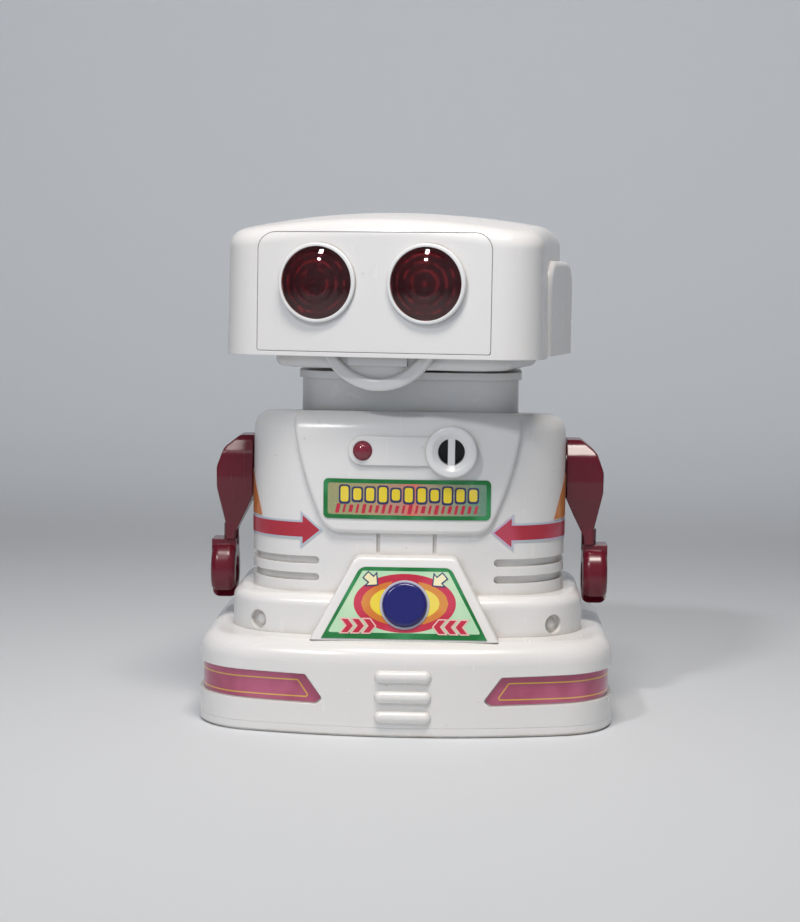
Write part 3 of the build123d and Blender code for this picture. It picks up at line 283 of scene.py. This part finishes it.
def make_films():
    # The bright red band in the middle is a painted reflection: a streak of reflected light across the
    # metallised film.
    bands_with_painted_streak = (
        (0.0, rgb(0.40, 0.42, 0.21)), (0.3, rgb(0.54, 0.40, 0.22)), (0.45, rgb(0.58, 0.33, 0.24)),
        (0.52, rgb(0.92, 0.20, 0.15)), (0.6, rgb(0.56, 0.37, 0.25)), (0.85, rgb(0.32, 0.40, 0.25)),
        (1.0, rgb(0.20, 0.38, 0.27)))
    return {
        "stripe_foil": foil("stripe_foil", rgb(0.40, 0.075, 0.15), rgb(0.52, 0.12, 0.22), 0.3),
        "edge_foil": foil("pale_edge_foil", rgb(0.62, 0.72, 0.82), rgb(0.75, 0.6, 0.8), 0.5),
        "arrow_foil": foil("arrow_red_foil", rgb(0.50, 0.03, 0.055), rgb(0.6, 0.07, 0.12), 0.3),
        "orange_foil": foil("orange_foil", rgb(0.75, 0.22, 0.035), rgb(0.82, 0.33, 0.08), 0.35),
        "green_foil": foil("green_foil", rgb(0.012, 0.20, 0.045), rgb(0.05, 0.33, 0.12), 0.35),
        "gold_foil": banded_foil("gold_foil", 26.0 * MM, bands_with_painted_streak),
        "mint_foil": foil("mint_foil", rgb(0.48, 0.76, 0.50), rgb(0.62, 0.82, 0.56), 0.2),
        "yellow_ink": foil("yellow_ink", rgb(0.86, 0.66, 0.03), rgb(0.9, 0.72, 0.12), 0.15),
        "line_ink": foil("pinstripe_ink", rgb(0.72, 0.42, 0.06), rgb(0.8, 0.5, 0.15), 0.3),
        "navy_ink": foil("navy_ink", rgb(0.025, 0.035, 0.12), rgb(0.04, 0.06, 0.17), 0.1),
        "red_ink": foil("red_ink", rgb(0.55, 0.02, 0.055), rgb(0.62, 0.05, 0.1), 0.15),
        "cream_ink": foil("cream_ink", rgb(0.86, 0.80, 0.45), rgb(0.9, 0.84, 0.55), 0.1),
        "pink_ink": foil("pink_ink", rgb(0.85, 0.55, 0.5), rgb(0.9, 0.65, 0.55), 0.15),
    }


def make_inner_finishes():
    return {
        "steel": metal("plated_steel", rgb(0.62, 0.61, 0.58), 0.3),
        "pressed": metal("pressed_metal", rgb(0.5, 0.5, 0.5), 0.4),
        "mirror": metal("bright_reflector", rgb(0.85, 0.84, 0.82), 0.14, (60, 60, 60)),
        "copper": metal("wound_copper", rgb(0.75, 0.36, 0.17), 0.3, (60, 60, 4000)),
        "board": dull("phenolic_board", rgb(0.34, 0.19, 0.07), 0.45),
        "epoxy": dull("component_epoxy", rgb(0.03, 0.03, 0.034), 0.5),
        "paper": dull("cone_paper", rgb(0.05, 0.048, 0.045), 0.85, 1500),
        "ferrite": dull("ferrite", rgb(0.06, 0.058, 0.058), 0.55, 500, 0.3),
        "cell": dull("cell_sleeve", rgb(0.05, 0.05, 0.055), 0.3, 300, 0.4),
        "wire": dull("wire_sleeve", rgb(0.42, 0.02, 0.02), 0.4, 500),
    }


NODE_FINISH = {
    "shell": "base_shell base_pan battery_door body_front body_back neck_collar head_shell_front "
             "head_shell_rear face_plate ear_left ear_right head_floor jaw",
    "trim": "eye_bezels microphone_bezel head_spindle",
    "ring": "button_bezel",
    "arm": "arm_left arm_right claw_left claw_right",
    "button": "try_button",
    "black": "mode_knob mode_switch button_switch microphone",
    "lens": "eye_lenses",
    "lamp": "indicator_lamp eye_lamps",
    "stripe_foil": "base_stripes",
    "edge_foil": "side_arrows",
    "orange_foil": "side_flashes",
    "green_foil": "chest_label button_label",
    "steel": "battery_plates battery_springs base_screws body_screws case_screws board_screws "
             "head_screws spindle_clip jaw_pin shoulder_washer_left shoulder_washer_right "
             "shoulder_screw_left shoulder_screw_right",
    "pressed": "speaker_basket",
    "mirror": "eye_reflectors",
    "copper": "jaw_coil",
    "board": "circuit_board",
    "epoxy": "board_components",
    "paper": "speaker_cone",
    "ferrite": "speaker_magnet",
    "cell": "batteries",
    "wire": "battery_wires speaker_wires neck_wires eye_wires",
}


def dress_frame(finishes):
    """Gives every CAD node its finish."""
    for finish, nodes in NODE_FINISH.items():
        for node in nodes.split():
            mesh = frame["nodes"][node].data
            mesh.materials.clear()
            mesh.materials.append(finishes[finish])


# ---------------------------------------------------------------- flat outlines
def rounded(points, radius):
    """An outline with a short curve in place of each corner."""
    steps, most = 6, 0.48       # steps of a curve, and the share of an edge that it may take
    made = []
    count = len(points)
    for i, corner in enumerate(points):
        corner = Vector(corner)
        back = Vector(points[i - 1]) - corner
        ahead = Vector(points[(i + 1) % count]) - corner
        half = back.angle(ahead) / 2
        reach = min(radius / math.tan(half), most * back.length, most * ahead.length)
        start, end = corner + back.normalized() * reach, corner + ahead.normalized() * reach
        for step in range(steps + 1):
            t = step / steps
            made.append(tuple(start * (1 - t) ** 2 + corner * 2 * t * (1 - t) + end * t * t))
    return made


def inset(points, distance):
    """An anticlockwise outline moved inwards by a distance."""
    made = []
    count = len(points)
    for i, here in enumerate(points):
        here = Vector(here)
        before = (here - Vector(points[i - 1])).normalized()
        after = (Vector(points[(i + 1) % count]) - here).normalized()
        left, right = Vector((-before.y, before.x)), Vector((-after.y, after.x))
        made.append(tuple(here + (left + right) * distance / (1 + left.dot(right))))
    return made


def oval(x, y, half_x, half_y):
    steps = 72
    turns = [2 * math.pi * i / steps for i in range(steps)]
    return [(x + half_x * math.cos(t), y + half_y * math.sin(t)) for t in turns]


def bar(x, y, width, height, lean=0.0):
    """An upright or leaning bar round its middle."""
    w, h, shift = width / 2, height / 2, lean * height / 2
    return [(x - w - shift, y - h), (x + w - shift, y - h), (x + w + shift, y + h), (x - w + shift, y + h)]


def turned(points, angle, x, y):
    """Points drawn round the origin, turned and moved to a place."""
    c, s = math.cos(angle), math.sin(angle)
    return [(x + u * c - v * s, y + u * s + v * c) for u, v in points]


def spread(count, span):
    """Even places along a span, round its middle."""
    return [(i / (count - 1) - 0.5) * span for i in range(count)]


# ---------------------------------------------------------------- surfaces that take a graphic
class Wall:
    """An upright outer wall. Its first coordinate runs along the wall from the middle of the front."""

    def __init__(self, node, height, angles, side=1):
        self.side = side
        mesh = frame["nodes"][node].data
        corners = [v.co / MM for v in mesh.vertices]
        tree = BVHTree.FromPolygons(corners, [p.vertices[:] for p in mesh.polygons])
        low_angle, high_angle = angles
        hits = []
        for step in range(RAYS + 1):
            angle = math.radians(low_angle + (high_angle - low_angle) * step / RAYS)
            out = Vector((math.cos(angle), math.sin(angle), 0))
            hit = tree.ray_cast(out * FAR + Vector((0, 0, height)), -out)[0]
            if hit is not None:
                hits.append(Vector((hit.x, hit.y)))
        self.points = hits
        self.runs = [hits[0].x]
        for a, b in zip(hits, hits[1:]):
            self.runs.append(self.runs[-1] + (b - a).length)
        self.end = self.runs[-1]
        if hits[0].x < 0:       # the wall crosses the middle, so runs are counted from there
            middle = min(range(len(hits)), key=lambda i: abs(hits[i].x))
            offset = self.runs[middle] - hits[middle].x
            self.runs = [run - offset for run in self.runs]

    def __call__(self, run, height, lift):
        i = min(max(bisect_right(self.runs, run) - 1, 0), len(self.points) - 2)
        a, b = self.points[i], self.points[i + 1]
        along = (b - a).normalized()
        spot = a + along * (run - self.runs[i])
        reach = 3               # points on each side that the wall's direction is taken from
        near, ahead = max(i - reach, 0), min(i + 1 + reach, len(self.points) - 1)
        way = (self.points[ahead] - self.points[near]).normalized()
        spot += Vector((way.y, -way.x)) * lift
        return Vector((spot.x * self.side, spot.y, height)) * MM


class Slope:
    """The leaning face of the button plate, with its origin on the button's axis."""

    def __init__(self, node, ring, joint):
        axis = next(j["axis"] for j in frame["joints"] if j["name"] == joint)
        self.out = -Vector(axis).normalized()
        self.up = Vector((0, self.out.z, -self.out.y))
        low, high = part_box(ring)
        centre = (low + high) / 2 / MM
        level = max(v.co.dot(self.out) for v in frame["nodes"][node].data.vertices) / MM
        self.origin = centre + self.out * (level - centre.dot(self.out))

    def __call__(self, across, upwards, lift):
        return (self.origin + Vector((across, 0, 0)) + self.up * upwards + self.out * lift) * MM


def printed(name, shapes, surface, layer, material):
    """Thin closed sheets, laid on a surface. A shape is an outline, or an outline and its holes."""
    work = bmesh.new()
    for shape in shapes:
        outlines = shape if isinstance(shape[0], list) else [shape]
        loops = [[Vector((u, v, 0)) for u, v in outline] for outline in outlines]
        spots = [work.verts.new(p) for loop in loops for p in loop]
        for corners in tessellate_polygon(loops):
            if len(set(corners)) == 3:
                work.faces.new([spots[i] for i in corners])
    bmesh.ops.remove_doubles(work, verts=work.verts[:], dist=WELD)
    low = min(v.co.x for v in work.verts)
    high = max(v.co.x for v in work.verts)
    for step in range(1, math.ceil((high - low) / STRIP)):
        everything = work.verts[:] + work.edges[:] + work.faces[:]
        bmesh.ops.bisect_plane(work, geom=everything, dist=1e-5,
                               plane_co=(low + step * STRIP, 0, 0), plane_no=(1, 0, 0))
    raised = bmesh.ops.extrude_face_region(work, geom=work.faces[:])["geom"]
    for vertex in [item for item in raised if isinstance(item, bmesh.types.BMVert)]:
        vertex.co.z = INK
    for vertex in work.verts:
        vertex.co = surface(vertex.co.x, vertex.co.y, vertex.co.z + layer * INK)
    bmesh.ops.recalc_face_normals(work, faces=work.faces[:])
    mesh = bpy.data.meshes.new(name)
    work.to_mesh(mesh)
    work.free()
    mesh.shade_smooth()
    mesh.set_sharp_from_angle(angle=math.radians(40))
    mesh.materials.append(material)
    piece = bpy.data.objects.new(name, mesh)
    bpy.context.scene.collection.objects.link(piece)
    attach(piece, "body")


# ---------------------------------------------------------------- graphics on the base and sides
def base_graphics(side, tag, finishes):
    """The yellow pinstripe that runs round inside each stripe on the base."""
    low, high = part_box("base_stripes")
    foot, top = low.z / MM, high.z / MM
    wall = Wall("base_stripes", (foot + top) / 2, FRONT_TO_SIDE, side)
    foot_start, top_start, tip = 29.9, 32.6, (28.1, 12.4)
    climb = 0.7                 # how far the stripe's edges climb towards the side
    stripe = [(foot_start, foot), (wall.end, foot + climb), (wall.end, top), (top_start, top - climb), tip]
    line_edges = ((1.45, 0.7), (1.85, 0.5))     # distance inside the stripe and corner radius
    line = [rounded(inset(stripe, distance), radius) for distance, radius in line_edges]
    printed("stripe_pinstripe_" + tag, [line], wall, LAYERS[0], finishes["line_ink"])


def side_graphics(side, tag, finishes):
    """The red arrow on each side of the torso, inside its pale edge."""
    middle, tip, neck = 62.6, 27.3, 34.6
    shaft_half, head_half, edge, end_gap = 3.0, 6.0, 0.62, 0.3
    wall = Wall("side_arrows", middle, FRONT_TO_SIDE, side)
    far = wall.end - end_gap
    lower = [(neck, middle - head_half), (neck, middle - shaft_half), (far, middle - shaft_half)]
    upper = [(x, 2 * middle - z) for x, z in reversed(lower)]
    arrow = inset([(tip, middle)] + lower + upper, edge)
    printed("side_arrow_red_" + tag, [arrow], wall, LAYERS[0], finishes["arrow_foil"])


# ---------------------------------------------------------------- graphics on the chest label
def chest_graphics(finishes):
    """A gold field in a green frame, with a level-meter motif over a row of slanted ticks."""
    low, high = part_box("chest_label")
    foot, top, half = low.z / MM, high.z / MM, high.x / MM
    middle = (foot + top) / 2
    wall = Wall("chest_label", middle, ACROSS_FRONT)
    edge, corner = 1.35, 0.9
    label = [(-half, foot), (half, foot), (half, top), (-half, top)]
    field = rounded(inset(label, edge), corner)
    printed("label_gold_field", [field], wall, LAYERS[0], finishes["gold_foil"])

    bar_width, rim, row = 2.6, 1.15, middle + 1.55
    bars, rims = [], []
    for i, place in enumerate(spread(11, 41.5)):
        x = place + 0.6
        tall = 4.3 + 0.7 * math.cos(i * 2.3)
        rims.append(rounded(bar(x, row - 0.1, bar_width + rim, tall + 1.3), 1.2))
        bars.append(rounded(bar(x, row, bar_width, tall), 0.9))
    printed("label_meter_rims", rims, wall, LAYERS[1], finishes["navy_ink"])
    printed("label_meter_bars", bars, wall, LAYERS[2], finishes["yellow_ink"])

    tick_row, lean = middle - 3.1, 0.22
    ticks = []
    for i, x in enumerate(spread(22, 44.6)):
        tall = 2.7 + 0.35 * math.cos(i * 1.7)
        wide = 1.0 + 0.25 * math.cos(i * 2.9)
        ticks.append(rounded(bar(x, tick_row, wide, tall, lean), 0.3))
    printed("label_dashes", ticks, wall, LAYERS[1], finishes["red_ink"])


# ---------------------------------------------------------------- graphics on the button plate
RING_HOLE = 7.6                 # radius that the graphics leave free round the button
RING_RISE = 0.55                # height of the coloured rings' middle over the button's axis


def plate_field(slope, finishes):
    """The mint field inside the label's green edge."""
    low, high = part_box("button_label")
    lean = slope.out.z / -slope.out.y
    stretch = math.sqrt(1 + lean**2)
    foot, top = [(z / MM - slope.origin.z) * stretch for z in (low.z, high.z)]
    foot_half = high.x / MM
    top_half = foot_half - (top - foot) / stretch * PLATE_TAPER
    label = [(-foot_half, foot), (foot_half, foot), (top_half, top), (-top_half, top)]
    edge, wider_foot, corner = 1.25, 0.65, 0.6
    field = [(x, y + (wider_foot if y < 0 else 0.0)) for x, y in inset(label, edge)]
    hole = oval(0, 0, RING_HOLE, RING_HOLE)
    printed("plate_mint_field", [[rounded(field, corner), hole]], slope, LAYERS[0], finishes["mint_foil"])


def beside_button(side, reach, tall):
    """The part of an oval ring that shows on one side of the button."""
    def half_height(x):
        return tall * math.sqrt(max(1 - (x / reach) ** 2, 0))

    def clears_hole(x):
        return x ** 2 + max(half_height(x) - RING_RISE, 0) ** 2 > RING_HOLE ** 2

    curve_steps, arc_steps, tries, finest = 14, 12, 1000, 50
    inner = next(i / finest for i in range(1, tries) if clears_hole(i / finest))
    xs = [inner + (reach - inner) * step / curve_steps for step in range(curve_steps + 1)]
    upper = [(x, RING_RISE + half_height(x)) for x in xs]
    lower = [(x, RING_RISE - half_height(x)) for x in reversed(xs[:-1])]
    start = math.atan2(lower[-1][1], inner)
    end = math.atan2(upper[0][1], inner)
    turns = [start + (end - start) * step / arc_steps for step in range(1, arc_steps)]
    arc = [(RING_HOLE * math.cos(t), RING_HOLE * math.sin(t)) for t in turns]
    outline = [(side * x, y) for x, y in upper + lower + arc]
    return outline if side < 0 else outline[::-1]


def plate_rings(slope, finishes):
    """A red oval round the button, with orange and yellow ones inside it."""
    red = [oval(0, RING_RISE, 16.3, 9.5), oval(0, 0, RING_HOLE, RING_HOLE)]
    printed("plate_red_ring", [red], slope, LAYERS[1], finishes["red_ink"])
    orange = [beside_button(side, 13.9, 7.3) for side in (-1, 1)]
    printed("plate_orange_ring", orange, slope, LAYERS[2], finishes["orange_foil"])
    yellow = [beside_button(side, 11.1, 5.6) for side in (-1, 1)]
    printed("plate_yellow_ring", yellow, slope, LAYERS[3], finishes["yellow_ink"])


def rimmed(name, rims_name, shapes, slope, heart, rim):
    """Small shapes printed over a rim that shows all round them."""
    rim_width = 0.4
    printed(rims_name, [inset(shape, -rim_width) for shape in shapes], slope, LAYERS[4], rim)
    printed(name, shapes, slope, LAYERS[5], heart)


def plate_arrows(slope, finishes):
    """Two cream arrows over the rings that point down at the button."""
    tip, neck, tail, barb, shaft = -2.5, -0.2, 2.1, 2.25, 1.05
    arrow = [(0, tip), (barb, neck), (shaft, neck), (shaft, tail),
             (-shaft, tail), (-shaft, neck), (-barb, neck)]
    x, y, tilt = 10.9, 8.1, math.radians(-50)
    arrows = [turned(arrow, side * tilt, side * x, y) for side in (-1, 1)]
    rimmed("plate_arrows", "plate_arrow_rims", arrows, slope, finishes["cream_ink"], finishes["navy_ink"])


def plate_chevrons(slope, finishes):
    """Three red chevrons on each side that point at the button."""
    y, half, back, slant, thick = -6.9, 2.15, 1.6, 1.7, 2.0
    chevrons = []
    for side in (-1, 1):
        for step in range(3):
            x = side * (10.9 + 3.5 * step) - side * back
            wing, far_wing = x + side * slant, x + side * (slant + thick)
            points = [(x, y), (wing, y - half), (far_wing, y - half),
                      (x + side * thick, y), (far_wing, y + half), (wing, y + half)]
            chevrons.append(points if side > 0 else points[::-1])
    rimmed("plate_chevrons", "plate_chevron_rims", chevrons, slope, finishes["red_ink"],
           finishes["pink_ink"])


def plate_graphics(finishes):
    slope = Slope("button_label", "button_bezel", "button_press")
    for draw in (plate_field, plate_rings, plate_arrows, plate_chevrons):
        draw(slope, finishes)


# ---------------------------------------------------------------- stage, light and camera
def make_stage():
    """A pale floor that curves up into a wall all the way round, just under the toy."""
    f = Finish("pale_sweep")
    f.set(Base_Color=rgb(0.66, 0.69, 0.72), Roughness=0.8)
    flat, bend, wall, bend_steps, turn_steps = 1.0, 0.5, 1.6, 16, 96
    profile = [(0.0, 0.0), (flat / 2, 0.0)]
    for step in range(bend_steps + 1):
        angle = math.pi / 2 * step / bend_steps
        profile.append((flat + bend * math.sin(angle), bend * (1 - math.cos(angle))))
    profile.append((flat + bend, wall))
    work = bmesh.new()
    ring = [work.verts.new((r, 0, z)) for r, z in profile]
    edges = [work.edges.new(pair) for pair in zip(ring, ring[1:])]
    bmesh.ops.spin(work, geom=ring + edges, cent=(0, 0, 0), axis=(0, 0, 1),
                   angle=2 * math.pi, steps=turn_steps, use_merge=True)
    bmesh.ops.remove_doubles(work, verts=work.verts[:], dist=1e-5)
    bmesh.ops.recalc_face_normals(work, faces=work.faces[:])
    mesh = bpy.data.meshes.new("sweep")
    work.to_mesh(mesh)
    work.free()
    mesh.shade_smooth()
    mesh.materials.append(f.material)
    sweep = bpy.data.objects.new("sweep", mesh)
    sweep.location.z = -0.1 * MM
    bpy.context.scene.collection.objects.link(sweep)


def add_light(name, place, aim, size, power, colour, spread_angle, mirrored=True):
    """A rectangular area light that points at a spot."""
    light = bpy.data.lights.new(name, "AREA")
    light.shape = "RECTANGLE"
    light.size, light.size_y = size
    light.energy = power
    light.color = colour
    light.spread = math.radians(spread_angle)
    lamp = bpy.data.objects.new(name, light)
    lamp.location = place
    lamp.rotation_euler = (Vector(aim) - Vector(place)).to_track_quat("-Z", "Y").to_euler()
    lamp.visible_glossy = mirrored
    bpy.context.scene.collection.objects.link(lamp)


def make_lights():
    """Soft light from above and the front, two lights on the backdrop, and a dim room."""
    middle = (0, 0, 0.08)
    warm, cool, neutral = (1.0, 0.93, 0.87), (0.80, 0.90, 1.0), (1.0, 0.98, 0.97)
    add_light("overhead", (0.03, -0.34, 0.80), middle, (0.34, 0.16), 1.85, warm, 110)
    add_light("key", (-0.40, -0.76, 0.86), middle, (0.10, 0.07), 0.95, neutral, 100)
    add_light("front_fill", (-0.15, -1.1, 0.22), middle, (0.8, 0.5), 0.45, cool, 100, False)
    for name, way, power in (("backdrop_rear", 1, 5.0), ("backdrop_front", -1, 2.0)):
        add_light(name, (0, way * 0.5, 0.95), (0, way * 1.5, 0.45), (1.6, 0.4), power, neutral, 140, False)
    world = bpy.data.worlds.new("soft_room")
    world.use_nodes = True
    background = world.node_tree.nodes["Background"]
    background.inputs["Color"].default_value = rgb(0.82, 0.88, 1.0)
    background.inputs["Strength"].default_value = 0.10
    bpy.context.scene.world = world


def make_camera():
    """Straight ahead and slightly above, with the small roll of a hand-held view."""
    aim, distance, lens = Vector((-0.0036, 0.0, 0.0824)), 0.671, 77.06
    azimuth, elevation, roll = (math.radians(angle) for angle in (1.856, 5.185, 0.733))
    back = Vector((math.sin(azimuth) * math.cos(elevation), -math.cos(azimuth) * math.cos(elevation),
                   math.sin(elevation)))
    right = Vector((0, 0, 1)).cross(back).normalized()
    up = back.cross(right)
    across = right * math.cos(roll) + up * math.sin(roll)
    above = up * math.cos(roll) - right * math.sin(roll)
    data = bpy.data.cameras.new("camera")
    data.lens = lens
    camera = bpy.data.objects.new("camera", data)
    camera.matrix_world = Matrix.Translation(aim + back * distance) @ Matrix(
        (across, above, back)).transposed().to_4x4()
    bpy.context.scene.collection.objects.link(camera)
    bpy.context.scene.camera = camera


def main():
    finishes = make_plastics() | make_films() | make_inner_finishes()
    dress_frame(finishes)
    for side, tag in ((-1, "right"), (1, "left")):
        base_graphics(side, tag, finishes)
        side_graphics(side, tag, finishes)
    chest_graphics(finishes)
    plate_graphics(finishes)
    make_stage()
    make_lights()
    make_camera()
    bpy.context.scene.view_settings.view_transform = "Standard"


main()
